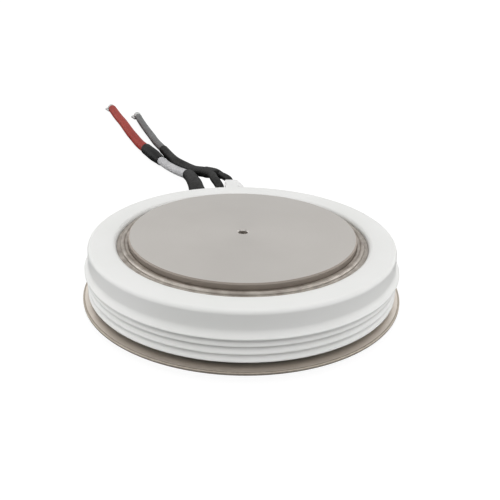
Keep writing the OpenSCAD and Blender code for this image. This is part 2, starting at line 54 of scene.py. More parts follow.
right = np.array([1.0, 0.0, 0.0])
ahead = np.array([0.0, np.cos(camera_rise), -np.sin(camera_rise)])
above = np.cross(right, ahead)
camera_axes = np.column_stack([right, above, ahead])
camera_axes = camera_axes @ turn(camera_pan, 2, 0) @ turn(camera_tilt, 1, 2) @ turn(camera_roll, 0, 1)
camera_place = np.eye(4)
camera_place[:3, :3] = camera_axes * [1, 1, -1]
camera_place[:3, 3] = np.array([0, 0, aim_height]) - camera_distance * ahead
camera_data = bpy.data.cameras.new("camera")
camera_data.lens = 50
camera_data.sensor_width = 36
camera_data.clip_start = 0.01
camera = bpy.data.objects.new("camera", camera_data)
camera.matrix_world = Matrix(camera_place.tolist())
bpy.context.scene.collection.objects.link(camera)
bpy.context.scene.camera = camera

# Cathode lead: a white pigtail leaves the ring in a black shrink boot, and a thicker red lead is spliced
# to it under a second shrink sleeve. Both are silicone rubber, extruded over tinned strands. The lead
# comes down to the table behind the ring and lies there.
mm = 0.001
upward = np.array([0, 0, 1])
spans = 10
red_points = [
    (-19.1, 55.5, 19.6), (-20.4, 59, 19.6), (-21.8, 65, 19.5), (-23.3, 75, 18.5), (-24.8, 85, 16.4),
    (-26.2, 95, 14.2), (-27.8, 105, 12), (-29.8, 115, 9.7), (-33, 126, 6.9), (-37.2, 137, 4.5),
    (-41.2, 145.2, 3.4), (-45.4, 152.2, 3.2), (-49.4, 158.8, 3.6), (-55.4, 170.2, 3.8),
    (-61.5, 182.6, 3.7), (-67.6, 196, 3.3), (-74, 213, 3.1), (-78.5, 225, 3.1), (-83, 238, 3.1),
    (-87.5, 251, 3.1), (-92.5, 264, 3.1), (-97.5, 278, 3.1), (-102, 291, 3.1),
]
pigtail_start, boot_end, splice_start, red_joint, splice_end, red_end = 1, 7, 12, 13, 14, 22
pigtail_d, red_d = 5.0 * mm, 6.0 * mm
pigtail_boot_r, pigtail_boot_end_r = 3.6 * mm, 3.1 * mm
pigtail_boot_wave, pigtail_boot_phase = 0.06 * mm, 9
splice_wall, splice_swell, splice_step_share = 0.4 * mm, 0.12 * mm, 0.45
sleeve_gap = 0.1 * mm
lip_r, lip_steps = 0.35 * mm, 6
sleeve_steps, bore_steps = 80, 40
crease_angle = np.radians(32)
noise_low, noise_high = 0.3, 0.7


def smooth_route(points):
    """Smooth curve through the points: between two of them, the cubic whose slope at each is half the step
    from the point before it to the point after. Gives `spans` stations from each point to the next."""
    p = np.array(points) * mm
    p = np.vstack([2 * p[0] - p[1], p, 2 * p[-1] - p[-2]])
    before, here, there, after = p[:-3], p[1:-2], p[2:-1], p[3:]
    t = (np.arange(spans) / spans)[:, None, None]
    cubic = 2 * here + (there - before) * t
    cubic = cubic + (2 * before - 5 * here + 4 * there - after) * t**2
    cubic = cubic + (3 * here - before - 3 * there + after) * t**3
    return np.vstack([cubic.transpose(1, 0, 2).reshape(-1, 3) / 2, p[-2]])


def stretch_of(route, first, last):
    """The stations of a route from one of its points to another."""
    return route[first * spans:last * spans + 1]


def distances(route):
    """Length of the route from its start to each station."""
    return np.concatenate([[0], np.cumsum(np.linalg.norm(np.diff(route, axis=0), axis=1))])


def carry(route, profile, sides=32):
    """A profile carried along a route: each profile row (distance, side reach, upward reach) becomes an
    oval square to the route at that distance, and the ovals are the rows of the grid."""
    run = distances(route)
    heading = np.gradient(route, run, axis=0)
    centre = np.stack([np.interp(profile[:, 0], run, route[:, k]) for k in range(3)], axis=1)
    heading = np.stack([np.interp(profile[:, 0], run, heading[:, k]) for k in range(3)], axis=1)
    side = np.cross(heading, upward)
    side /= np.linalg.norm(side, axis=1, keepdims=True)
    up = np.cross(side, heading)
    up /= np.linalg.norm(up, axis=1, keepdims=True)
    angle = np.linspace(0, 2 * np.pi, sides, endpoint=False)[None, :, None]
    across = profile[:, 1, None, None] * np.cos(angle) * side[:, None]
    return centre[:, None] + across + profile[:, 2, None, None] * np.sin(angle) * up[:, None]


def round_rows(distance, reach):
    """Profile rows of a round section: the same reach to the side and upwards."""
    return np.column_stack([distance, reach, reach])


def quarter_round(radius, steps):
    """Quarter circle between an end face and a side: each point's distance from the face, and its inset
    from the side."""
    angle = np.linspace(0, np.pi / 2, steps)
    return radius * (1 - np.cos(angle)), radius * (1 - np.sin(angle))


def sleeve_profile(route, outside, inside):
    """A shrink sleeve whose outer and inner reach are functions of the share of its length: outer rows
    along the route, with a quarter circle at each lip, then the bore rows back to the start."""
    length = distances(route)[-1]
    lip, drop = quarter_round(lip_r, lip_steps)
    plain = np.linspace(2 * lip_r, length - 2 * lip_r, sleeve_steps)
    run = np.concatenate([lip, plain, length - lip[::-1]])
    reach = outside(run / length)
    reach[:lip_steps] -= drop
    reach[-lip_steps:] -= drop[::-1]
    back = np.linspace(length, 0, bore_steps)
    return np.vstack([round_rows(run, reach), round_rows(back, inside(back / length))])


def skin(name, grid, ring=False):
    """Mesh object over a grid of points: a quad between each four neighbours, columns closed round. With
    ring the rows close round too; otherwise a flat face closes the first row and another the last."""
    rows, columns = grid.shape[:2]
    here = np.arange(rows * columns).reshape(rows, columns)
    there = np.roll(here, -1, axis=0)
    quads = np.stack([here, there, np.roll(there, -1, axis=1), np.roll(here, -1, axis=1)], axis=-1)
    faces = quads[:rows if ring else rows - 1].reshape(-1, 4).tolist()
    if not ring:
        faces += [here[0].tolist(), here[-1, ::-1].tolist()]
    mesh = bpy.data.meshes.new(name)
    mesh.from_pydata(grid.reshape(-1, 3), [], faces)
    mesh.polygons.foreach_set("use_smooth", np.ones(len(mesh.polygons), bool))
    mesh.set_sharp_from_angle(angle=crease_angle)
    piece = bpy.data.objects.new(name, mesh)
    bpy.context.scene.collection.objects.link(piece)
    return piece


def fit(piece, material, slot, *nodes):
    """Gives a piece its finish, makes it ride on the capsule and stand for its solids. The slot is not
    used.
    """
    piece.data.materials.append(material)
    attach(piece, "root")
    if nodes:
        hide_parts(*nodes)
    return piece


def finish(name, colour, rough, metal=0.0, **sockets):
    """A Principled shader with these values on its own sockets; further sockets by name, with _ for
    spaces."""
    material = bpy.data.materials.new(name)
    material.use_nodes = True
    shader = material.node_tree.nodes["Principled BSDF"]
    shader.inputs["Base Color"].default_value = (*colour, 1)
    shader.inputs["Roughness"].default_value = rough
    shader.inputs["Metallic"].default_value = metal
    for socket, value in sockets.items():
        shader.inputs[socket.replace("_", " ")].default_value = value
    return material


def node(material, kind, inputs, **settings):
    """A shader node with its settings and its inputs, each a value or the output of another node."""
    tree = material.node_tree
    made = tree.nodes.new(kind)
    for setting, value in settings.items():
        setattr(made, setting, value)
    for socket, value in inputs.items():
        if isinstance(value, bpy.types.NodeSocket):
            tree.links.new(value, made.inputs[socket])
        else:
            made.inputs[socket].default_value = value
    return made


def drive(material, socket, output):
    """Links a node's output to a socket of the material's shader."""
    material.node_tree.links.new(output, material.node_tree.nodes["Principled BSDF"].inputs[socket])


def mottle(material, grains, squeeze=(1, 1, 1), detail=3.0):
    """Noise on Object coordinates, with so many grains to the metre, squeezed along some axes."""
    place = node(material, "ShaderNodeTexCoord", {}).outputs["Object"]
    place = node(material, "ShaderNodeMapping", {"Vector": place, "Scale": squeeze}).outputs["Vector"]
    noise = {"Vector": place, "Scale": grains, "Detail": detail}
    return node(material, "ShaderNodeTexNoise", noise).outputs["Fac"]


def tint(material, factor, dark, light):
    """Base colour that runs from dark to light as the factor runs through the middle of its range."""
    ramp = node(material, "ShaderNodeValToRGB", {"Fac": factor})
    for stop, place, colour in zip(ramp.color_ramp.elements, (noise_low, noise_high), (dark, light)):
        stop.position = place
        stop.color = (*colour, 1)
    drive(material, "Base Color", ramp.outputs["Color"])


def scuff(material, factor, smooth, rough):
    """Roughness that runs from smooth to rough as the factor runs through the middle of its range."""
    spread = {"Value": factor, "From Min": noise_low, "From Max": noise_high}
    spread.update({"To Min": smooth, "To Max": rough})
    drive(material, "Roughness", node(material, "ShaderNodeMapRange", spread).outputs["Result"])


def emboss(material, factor, depth):
    """Bump of that depth, in metres, from the factor."""
    bump = node(material, "ShaderNodeBump", {"Height": factor, "Distance": depth, "Strength": 1.0})
    drive(material, "Normal", bump.outputs["Normal"])


def insulation(name, dark, light):
    """Extruded silicone: colour in slow drifts, a satin skin and a fine dusty grain."""
    material = finish(name, light, rough=0.5, Specular_IOR_Level=0.15)
    tint(material, mottle(material, grains=90), dark, light)
    grain = mottle(material, grains=2500, detail=2)
    scuff(material, grain, smooth=0.45, rough=0.62)
    emboss(material, grain, depth=0.03 * mm)
    return material


shrink_black = finish("shrink_black", (0.014, 0.014, 0.014), rough=0.5, Specular_IOR_Level=0.08)
shrink_grain = mottle(shrink_black, grains=500, detail=4)
tint(shrink_black, mottle(shrink_black, grains=60), dark=(0.01, 0.01, 0.01), light=(0.02, 0.02, 0.019))
scuff(shrink_black, shrink_grain, smooth=0.42, rough=0.6)
emboss(shrink_black, shrink_grain, depth=0.12 * mm)
white_insulation = insulation("white_insulation", dark=(0.44, 0.44, 0.45), light=(0.54, 0.54, 0.55))
red_insulation = insulation("red_insulation", dark=(0.27, 0.026, 0.018), light=(0.34, 0.036, 0.025))


def round_cord(name, route, diameter):
    """A plain round cord carried along a route: one radius at every station."""
    run = distances(route)
    return skin(name, carry(route, round_rows(run, np.full(len(run), diameter / 2))))


def shrink_sleeve(name, route, outside, inside, solid):
    """A black shrink sleeve carried along a route, in place of its solid."""
    piece = skin(name, carry(route, sleeve_profile(route, outside, inside)), ring=True)
    return fit(piece, shrink_black, "black_sleeve", solid)


def shrink_wave(share, height, phase):
    """Slow waves where a sleeve shrank unevenly: a sine of the share times the phase, which a half sine
    brings to nothing at both ends."""
    return height * np.sin(phase * share) * np.sin(np.pi * share)


def close_bore(diameter):
    """Bore of a sleeve, as a function of the share of its length: close round a lead all along."""
    return lambda share: np.full_like(share, diameter / 2 + sleeve_gap)


red_route = smooth_route(red_points)
pigtail_route = stretch_of(red_route, pigtail_start, red_joint)
white_pigtail = round_cord("white_pigtail", pigtail_route, pigtail_d)
fit(white_pigtail, white_insulation, "white_insulation", "cathode_pigtail")


def pigtail_boot_outside(share):
    """Boot that narrows evenly from the ring to its thin end, with slow waves."""
    wave = shrink_wave(share, pigtail_boot_wave, pigtail_boot_phase)
    return pigtail_boot_r + (pigtail_boot_end_r - pigtail_boot_r) * share + wave


boot_route = stretch_of(red_route, 0, boot_end)
pigtail_boot = shrink_sleeve(
    "pigtail_boot", boot_route, pigtail_boot_outside, close_bore(pigtail_d), "cathode_boot"
)


def splice_bore(share):
    """Bore of the splice sleeve: close round the pigtail, then a smooth step up to the red lead."""
    step = np.clip(share / splice_step_share, 0, 1)
    return (pigtail_d + (red_d - pigtail_d) * step**2 * (3 - 2 * step)) / 2 + sleeve_gap


def splice_outside(share):
    """The sleeve's wall outside its bore, thicker over the crimped joint in the middle by the fourth
    power of a half sine."""
    return splice_bore(share) + splice_wall + splice_swell * np.sin(np.pi * share) ** 4


splice_route = stretch_of(red_route, splice_start, splice_end)
splice_shrink = shrink_sleeve("splice_shrink", splice_route, splice_outside, splice_bore, "splice_sleeve")

red_lead_route = stretch_of(red_route, red_joint, red_end)
red_cable = round_cord("red_cable", red_lead_route, red_d)
fit(red_cable, red_insulation, "red_insulation", "red_lead")

# Gate lead: two short black fingers, one from the white boot and one from the next terminal, run into a
# moulded fork. A black shrink sleeve leads on from it, and the grey lead comes out of that sleeve on the
# table.
gate_points = [
    (-15.6, 95.2, 17.4), (-18.8, 105, 14.6), (-22.2, 113, 12.3), (-25.9, 122.5, 9.6), (-28.8, 131, 7.5),
    (-32.6, 140, 5.9), (-39.3, 151.8, 5.2), (-44.8, 168, 3.3), (-51, 185, 2.9), (-57.8, 202.5, 2.7),
    (-62.4, 216.5, 2.7), (-67.1, 230.5, 2.7), (-71.5, 244, 2.7), (-75.5, 257, 2.7), (-79, 269, 2.7),
]
gate_finger_points = [
    (-6.1, 69.5, 20.3), (-7.1, 74, 21.2), (-9.2, 79.5, 20.8), (-11.5, 86, 19.6), (-13.6, 95.6, 17.5),
]
return_finger_points = [
    (-11.3, 61.8, 19.7), (-11.1, 65.5, 20.3), (-12.4, 71, 20.6), (-14.2, 78, 20.3), (-15.5, 86, 19.3),
    (-17.1, 94.3, 17.5),
]
fork_points = [(-13.4, 86.2, 19.3), *gate_points[:4]]
gate_sleeve_start, gate_sleeve_end, gate_end = 1, 8, 14
gate_lead_d, gate_finger_d, return_finger_d = 4.8 * mm, 3.4 * mm, 4.0 * mm
gate_sleeve_r, gate_sleeve_wave, gate_sleeve_phase = 2.75 * mm, 0.05 * mm, 17
fork_side, fork_up, fork_end_r, fork_nose = 4.0 * mm, 2.4 * mm, 3.0 * mm, 1.6 * mm
fork_nose_start, fork_nose_steps, fork_steps = 0.3, 7, 40
fork_spans, fork_overlap = 2, 4

gate_finger_route = smooth_route(gate_finger_points)
gate_finger = round_cord("gate_finger", gate_finger_route, gate_finger_d)
fit(gate_finger, shrink_black, "black_sleeve", "gate_pigtail")

return_finger_route = smooth_route(return_finger_points)
return_finger = round_cord("return_finger", return_finger_route, return_finger_d)
fit(return_finger, shrink_black, "black_sleeve", "return_pigtail")


def fork_profile(route):
    """The fork's ovals: a rounded nose across both fingers, wide and low at first, and then narrower with
    the square of the distance, to a round end with a rounded lip."""
    length = distances(route)[-1]
    quarter = np.linspace(fork_nose_start, np.pi / 2, fork_nose_steps)
    nose = fork_nose * (1 - np.cos(quarter))
    plain = np.linspace(fork_nose, length - 2 * lip_r, fork_steps)[1:]
    run = np.concatenate([nose, plain, length - lip_r + lip_r * np.cos(quarter[::-1])])
    share = run / length
    side = fork_end_r + (fork_side - fork_end_r) * (1 - share**2)
    up = fork_up + (fork_end_r - fork_up) * share
    fullness = np.ones(len(run))
    fullness[:fork_nose_steps] = np.sin(quarter)
    drop = np.zeros(len(run))
    drop[-fork_nose_steps:] = lip_r * (1 - np.sin(quarter[::-1]))
    return np.column_stack([run, side * fullness - drop, up * fullness - drop])


gate_route = smooth_route(gate_points)
fork_route = smooth_route(fork_points)[:fork_spans * spans + fork_overlap]
fork_moulding = skin("fork_moulding", carry(fork_route, fork_profile(fork_route)))
fit(fork_moulding, shrink_black, "black_sleeve", "gate_breakout")


def gate_sleeve_outside(share):
    """Sleeve of one thickness, with slow waves."""
    return gate_sleeve_r + shrink_wave(share, gate_sleeve_wave, gate_sleeve_phase)


gate_sleeve_route = stretch_of(gate_route, gate_sleeve_start, gate_sleeve_end)
gate_shrink = shrink_sleeve(
    "gate_shrink", gate_sleeve_route, gate_sleeve_outside, close_bore(gate_lead_d), "gate_lead_sleeve"
)

grey_insulation = insulation("grey_insulation", dark=(0.13, 0.13, 0.13), light=(0.18, 0.18, 0.18))
gate_lead_route = stretch_of(gate_route, gate_sleeve_start, gate_end)
grey_cable = round_cord("grey_cable", gate_lead_route, gate_lead_d)
fit(grey_cable, grey_insulation, "grey_insulation", "gate_lead")

# Ring lugs on the far ends of both leads: copper strip, stamped with its hole, the barrel rolled up and
# crimped on the strands with one dent, then tinned.
lug_barrel_r, lug_barrel_l, lug_barrel_plain = 2.5 * mm, 6.0 * mm, 0.6 * mm
lug_barrel_steps, lug_barrel_stations = 60, 20
lug_ring_r, lug_hole_r, lug_t, lug_turns = 4.0 * mm, 2.15 * mm, 0.8 * mm, 128
lug_edge, lug_edge_steps = 0.15 * mm, 5
least_slant = 0.1
crimp_r, crimp_depth = 1.2 * mm, 0.8 * mm


def lug_tongue(centre, way, neck):
    """Flat ring of the lug: a section that goes up at the hole, over the top and down at the outline,
    with rounded edges, turned about the hole. The outline is a circle in front, and behind it the
    straight flanks that narrow to the barrel's width at the neck. Where a ray runs almost along a flank
    or the neck, the least slant stands in its place."""
    angle = np.linspace(0, 2 * np.pi, lug_turns, endpoint=False)
    slope = (lug_ring_r - lug_barrel_r) / neck
    flank = lug_ring_r / np.maximum(np.abs(np.sin(angle)) - slope * np.cos(angle), least_slant)
    butt = neck / np.maximum(-np.cos(angle), least_slant)
    outline = np.where(np.cos(angle) < 0, np.minimum(flank, butt), lug_ring_r)
    level, inset = quarter_round(lug_edge, lug_edge_steps)
    edge = np.concatenate([inset, inset[::-1]])[:, None]
    rise = np.concatenate([level, lug_t - level[::-1]])
    radius = np.vstack([lug_hole_r + edge + 0 * angle, outline - edge])
    height = np.concatenate([rise, rise[::-1]])[:, None] + 0 * angle
    left = np.cross(upward, way)
    flat = (radius * np.cos(angle))[..., None] * way + (radius * np.sin(angle))[..., None] * left
    return centre + flat + height[..., None] * upward


def lug_barrel(start, way):
    """Barrel of the lug: a round tube with eased ends, pressed down on top as far as the round crimping
    die goes."""
    ease, drop = quarter_round(2 * lug_edge, lug_edge_steps)
    plain = np.linspace(lug_barrel_plain, lug_barrel_l - lug_barrel_plain, lug_barrel_steps)
    run = np.concatenate([ease, plain, lug_barrel_l - ease[::-1]])
    reach = np.full(len(run), lug_barrel_r)
    reach[:lug_edge_steps] -= drop
    reach[-lug_edge_steps:] -= drop[::-1]
    axis = start + np.linspace(0, lug_barrel_l, lug_barrel_stations)[:, None] * way
    barrel = carry(axis, round_rows(run, reach), sides=64)
    from_crimp = np.clip(np.abs(run - lug_barrel_l / 2) / crimp_r, 0, 1)
    die = start[2] + lug_barrel_r - crimp_depth + crimp_r * (1 - np.sqrt(1 - from_crimp**2))
    die = np.where(from_crimp < 1, die, start[2] + lug_barrel_r)
    barrel[..., 2] = np.minimum(barrel[..., 2], die[:, None])
    return barrel


tin_plate = finish("tin_plate", (0.62, 0.62, 0.61), rough=0.35, metal=1.0)
tin_grain = mottle(tin_plate, grains=900, detail=4)
tint(tin_plate, tin_grain, dark=(0.55, 0.55, 0.54), light=(0.68, 0.68, 0.67))
scuff(tin_plate, tin_grain, smooth=0.3, rough=0.48)
emboss(tin_plate, tin_grain, depth=0.02 * mm)


def ring_lug(name, route, solid):
    """Lug in line with the end of a route, in place of its solid: its barrel on the axis, its tongue
    level with the barrel's underside."""
    way = (route[-1] - route[-1 - spans]) * [1, 1, 0]
    way /= np.linalg.norm(way)
    hole_run = lug_barrel_l + lug_ring_r
    hole_at = route[-1] + hole_run * way - lug_barrel_r * upward
    barrel = skin(f"{name}_barrel", lug_barrel(route[-1], way))
    tongue = skin(f"{name}_tongue", lug_tongue(hole_at, way, hole_run - lug_barrel_l / 2), ring=True)
    fit(barrel, tin_plate, "tinned_copper", solid)
    fit(tongue, tin_plate, "tinned_copper", solid)
    return barrel, tongue


red_barrel, red_tongue = ring_lug("red_lug", red_route, "red_ring_terminal")
grey_barrel, grey_tongue = ring_lug("grey_lug", gate_route, "gate_ring_terminal")

# White boot over the gate terminal: a moulded block of silicone rubber, pushed over the tube from behind,
# with one large chamfer. The numbers of its section are in millimetres from the tube's axis.
gate_angle = np.radians(94)
terminal_z = 19.6 * mm
boot_start_r, boot_l = 57.3 * mm, 12.0 * mm
boot_left, boot_right, boot_below, boot_above = -4.1, 4.9, -1.85, 3.6
boot_chamfer, boot_round, corner_steps = 3.4, 0.6, 8
boot_end_round, boot_end_steps = 0.5 * mm, 7
boot_corners = [
    (boot_right, boot_below),
    (boot_right, boot_above - boot_chamfer),
    (boot_right - boot_chamfer, boot_above),
    (boot_left, boot_above),
    (boot_left, boot_below),
]


def ease_corners(corners, radius, closed=False):
    """Outline whose corners are arcs that touch both sides: each arc turns about the point at that radius
    from both sides, on the line that halves the corner. Open outlines keep their two ends."""
    p = np.array(corners, float)
    before, after = np.roll(p, 1, axis=0) - p, np.roll(p, -1, axis=0) - p
    before /= np.linalg.norm(before, axis=1, keepdims=True)
    after /= np.linalg.norm(after, axis=1, keepdims=True)
    half = np.arccos(np.clip((before * after).sum(1), -1, 1)) / 2
    middle = before + after
    middle /= np.linalg.norm(middle, axis=1, keepdims=True)
    centre = p + middle * (radius / np.sin(half))[:, None]
    first = p + before * (radius / np.tan(half))[:, None] - centre
    last = p + after * (radius / np.tan(half))[:, None] - centre
    sweep = (np.pi - 2 * half)[:, None, None]
    t = np.linspace(0, 1, corner_steps)[None, :, None]
    arcs = (np.sin((1 - t) * sweep) * first[:, None] + np.sin(t * sweep) * last[:, None]) / np.sin(sweep)
    arcs = arcs + centre[:, None]
    if closed:
        return arcs.reshape(-1, 2)
    return np.vstack([p[:1], arcs[1:-1].reshape(-1, 2), p[-1:]])


boot_outline = ease_corners(boot_corners, boot_round, closed=True) * mm
boot_middle = np.array([boot_left + boot_right, boot_below + boot_above]) / 2 * mm
boot_ease, boot_drop = quarter_round(boot_end_round, boot_end_steps)
boot_run = np.concatenate([boot_ease, boot_l - boot_ease[::-1]])
boot_inset = np.concatenate([boot_drop, boot_drop[::-1]])
inward = boot_middle - boot_outline
inward /= np.linalg.norm(inward, axis=1, keepdims=True)
boot_section = boot_outline[None] + boot_inset[:, None, None] * inward[None]
radial = np.array([np.cos(gate_angle), np.sin(gate_angle), 0])
sideways = np.array([np.sin(gate_angle), -np.cos(gate_angle), 0])
boot_grid = (boot_start_r + boot_run)[:, None, None] * radial + boot_section[..., :1] * sideways
boot_grid = boot_grid + (terminal_z + boot_section[..., 1:]) * upward
boot_rubber = finish("boot_rubber", (0.8, 0.8, 0.79), rough=0.5, Specular_IOR_Level=0.35)
tint(boot_rubber, mottle(boot_rubber, grains=120), dark=(0.76, 0.76, 0.75), light=(0.82, 0.82, 0.81))
scuff(boot_rubber, mottle(boot_rubber, grains=400), smooth=0.45, rough=0.6)
emboss(boot_rubber, mottle(boot_rubber, grains=1500), depth=0.03 * mm)
boot_block = skin("boot_block", boot_grid)
fit(boot_block, boot_rubber, "white_boot", "gate_boot")

# Poles: turned copper, nickel plated. The faces keep the fine rings of the last facing cut, which spread
# the light along each ring. From the chamfer outwards the plate is dull, and its colour is darkened as
# painted shade.
face_end_r, chamfer_start_r = 41.95 * mm, 42.02 * mm


def from_axis(material):
    """Distance from the Z axis."""
    place = node(material, "ShaderNodeTexCoord", {}).outputs["Object"]
    flat = node(material, "ShaderNodeVectorMath", {0: place, 1: (1, 1, 0)}, operation="MULTIPLY").outputs[0]
    return node(material, "ShaderNodeVectorMath", {0: flat}, operation="LENGTH").outputs["Value"]


def turned_rings(material, rings):
    """Noise of the distance from the Z axis alone: so many rings to the metre, uneven as a facing cut."""
    noise = {"W": from_axis(material), "Scale": rings, "Detail": 5.0, "Roughness": 0.6}
    return node(material, "ShaderNodeTexNoise", noise, noise_dimensions="1D").outputs["Fac"]


def blend(material, socket, start, end, target):
    """Makes a socket's value run to a target colour or grey, from one distance from the Z axis to
    another."""
    value = material.node_tree.nodes["Principled BSDF"].inputs[socket].links[0].from_socket
    run = {"Value": from_axis(material), "From Min": start, "From Max": end}
    share = node(material, "ShaderNodeMapRange", run).outputs["Result"]
    mixed = node(material, "ShaderNodeMixRGB", {"Fac": share, "Color1": value, "Color2": (*target, 1)})
    drive(material, socket, mixed.outputs["Color"])


def along_rings(material):
    """Stretches the highlights along rings about the Z axis."""
    tangent = node(material, "ShaderNodeTangent", {}, direction_type="RADIAL", axis="Z")
    drive(material, "Tangent", tangent.outputs["Tangent"])


def dress(material, *names):
    """Gives this finish to solids that keep their own shape."""
    for name in names:
        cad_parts[name].data.materials.clear()
        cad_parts[name].data.materials.append(material)


pole_nickel = finish("pole_nickel", (0.61, 0.584, 0.552), rough=0.38, metal=1.0, Anisotropic=0.45)
pole_rings = turned_rings(pole_nickel, rings=1500)
pole_drift = mottle(pole_nickel, grains=40, detail=4)
tint(pole_nickel, pole_drift, dark=(0.6, 0.573, 0.541), light=(0.625, 0.6, 0.568))
scuff(pole_nickel, pole_rings, smooth=0.36, rough=0.41)
# Painted shade: the colour runs to a dark brown from the face's edge onto the chamfer and lip.
blend(pole_nickel, "Base Color", face_end_r, chamfer_start_r, target=(0.35, 0.31, 0.275))
blend(pole_nickel, "Roughness", face_end_r, chamfer_start_r, target=(0.6, 0.6, 0.6))
emboss(pole_nickel, pole_rings, depth=0.003 * mm)
along_rings(pole_nickel)
dress(pole_nickel, "anode_pole", "cathode_pole")

# Flange: two thin nickel-iron sheets, pressed to shape. The lower one is brazed to the anode pole, the
# upper one to the foot of the ceramic, and their rims are welded together all round, with a narrow bead.
# The numbers of the sections from here on are in millimetres.
sheet_t, sheet_bend_r, sheet_rim_r = 0.5, 0.55, 59.5
sheet_edge_drop, sheet_edge_shares = 0.8, np.array([0.15, 0.35, 0.65, 1.0])
gap_shade_start_r, gap_shade_end_r = 57.5 * mm, 53.0 * mm
bead_low, bead_high, bead_in, bead_out, bead_round = 2.88, 3.92, 59.1, 60.0, 0.3
turns = 384


def sheet_profile(line, thickness):
    """Section of a sheet: its middle line, offset by half the thickness to both sides, and thinner at the
    edges as if they were rounded. Up one side and back down the other."""
    run = distances(line)
    heading = np.gradient(line, run, axis=0)
    heading /= np.linalg.norm(heading, axis=1, keepdims=True)
    normal = np.column_stack([-heading[:, 1], heading[:, 0]])
    to_edge = np.minimum(np.minimum(run, run[-1] - run) / (thickness / 2), 1)
    half = thickness / 2 * np.sqrt(1 - sheet_edge_drop * (1 - to_edge) ** 2)
    return np.vstack([line + normal * half[:, None], (line - normal * half[:, None])[::-1]])


def with_edges(line, thickness):
    """A line with some points more near its two ends, where the edges of a sheet are rounded."""
    steps = sheet_edge_shares * thickness / 2
    start = line[:1] + steps[:, None] * (line[1] - line[0]) / np.linalg.norm(line[1] - line[0])
    end = line[-1:] - steps[::-1, None] * (line[-1] - line[-2]) / np.linalg.norm(line[-1] - line[-2])
    return np.vstack([line[:1], start, line[1:-1], end, line[-1:]])


def revolve(profile):
    """A section of [radius, height] points in millimetres, turned about the Z axis."""
    angle = np.linspace(0, 2 * np.pi, turns, endpoint=False)[None, :]
    radius, height = profile[:, :1] * mm, profile[:, 1:] * mm + 0 * angle
    return np.stack([radius * np.cos(angle), radius * np.sin(angle), height], axis=-1)


def formed_sheet(name, line, thickness):
    """A sheet of one thickness along a middle line, turned about the Z axis."""
    return skin(name, revolve(sheet_profile(with_edges(line, thickness), thickness)), ring=True)


def flange_line(inner_r, inner_z, step_r, rim_z):
    """Middle line of a flange sheet: flat from its inner edge to the step, up or down the step, and flat
    to the rim, with both bends eased."""
    line = [(inner_r, inner_z), (step_r, inner_z), (step_r, rim_z), (sheet_rim_r, rim_z)]
    return ease_corners(line, sheet_bend_r)


def dull_nickel(name):
    """Dull nickel plate on rolled sheet: warm grey in slow drifts, with faint rings and a fine grain."""
    material = finish(name, (0.89, 0.82, 0.745), rough=0.52, metal=1.0)
    drift = mottle(material, grains=140, detail=5)
    tint(material, drift, dark=(0.86, 0.79, 0.715), light=(0.92, 0.853, 0.78))
    scuff(material, turned_rings(material, rings=500), smooth=0.48, rough=0.56)
    emboss(material, mottle(material, grains=1200, detail=4), depth=0.006 * mm)
    return material


flange_nickel = dull_nickel("flange_nickel")
gap_shaded_nickel = dull_nickel("gap_shaded_nickel")
# Painted shade: the upper sheet's colour darkens from 57.5 mm in to 53 mm, in the gap under the ceramic's
# foot.
blend(gap_shaded_nickel, "Base Color", gap_shade_start_r, gap_shade_end_r, target=(0.1, 0.09, 0.08))
anode_line = flange_line(inner_r=42.6, inner_z=1.75, step_r=46.75, rim_z=3.15)
flange_sheet = formed_sheet("flange_sheet", anode_line, sheet_t)
fit(flange_sheet, flange_nickel, "flange_nickel", "anode_flange")
weld_ring_line = flange_line(inner_r=47.6, inner_z=6.15, step_r=51.85, rim_z=3.65)
weld_sheet = formed_sheet("weld_sheet", weld_ring_line, sheet_t)
fit(weld_sheet, gap_shaded_nickel, "flange_nickel", "ceramic_weld_ring")

weld_metal = finish("weld_metal", (0.5, 0.44, 0.37), rough=0.5, metal=0.7)
weld_ripple = mottle(weld_metal, grains=900, detail=4)
tint(weld_metal, weld_ripple, dark=(0.44, 0.38, 0.31), light=(0.56, 0.5, 0.43))
scuff(weld_metal, weld_ripple, smooth=0.4, rough=0.58)
emboss(weld_metal, weld_ripple, depth=0.04 * mm)
bead_corners = [(bead_in, bead_low), (bead_in, bead_high), (bead_out, bead_high), (bead_out, bead_low)]
rim_bead = skin("rim_bead", revolve(ease_corners(bead_corners, bead_round, closed=True)), ring=True)
fit(rim_bead, weld_metal, "flange_nickel")

# Ceramic ring: pressed and fired alumina with a white glaze. Three ribs and a flared skirt lengthen the
# path along its outside; a ledge at the top carries the diaphragm, and the flat foot is ground for the
# weld ring.
bore_r, ledge_r, band_r, rib_r, skirt_r = 45.6, 46.8, 57.1, 57.95, 58.75
foot_z, ledge_z, top_z, skirt_z = 6.4, 22.3, 24.1, 15.0
top_round, lip_round, cove_r, crest_r, foot_crest_h, groove_depth = 1.5, 1.6, 2.7, 0.5, 0.2, 0.8
rib_count = 3


def arc(centre, radius, start, end, steps=9):
    """Points of an arc about a centre, from one angle in degrees to another."""
    angle = np.radians(np.linspace(start, end, steps))
    return np.array(centre) + radius * np.column_stack([np.cos(angle), np.sin(angle)])


def bearing(start, end):
    """Direction from one point of the section to another, in degrees."""
    return np.degrees(np.arctan2(end[1] - start[1], end[0] - start[0]))


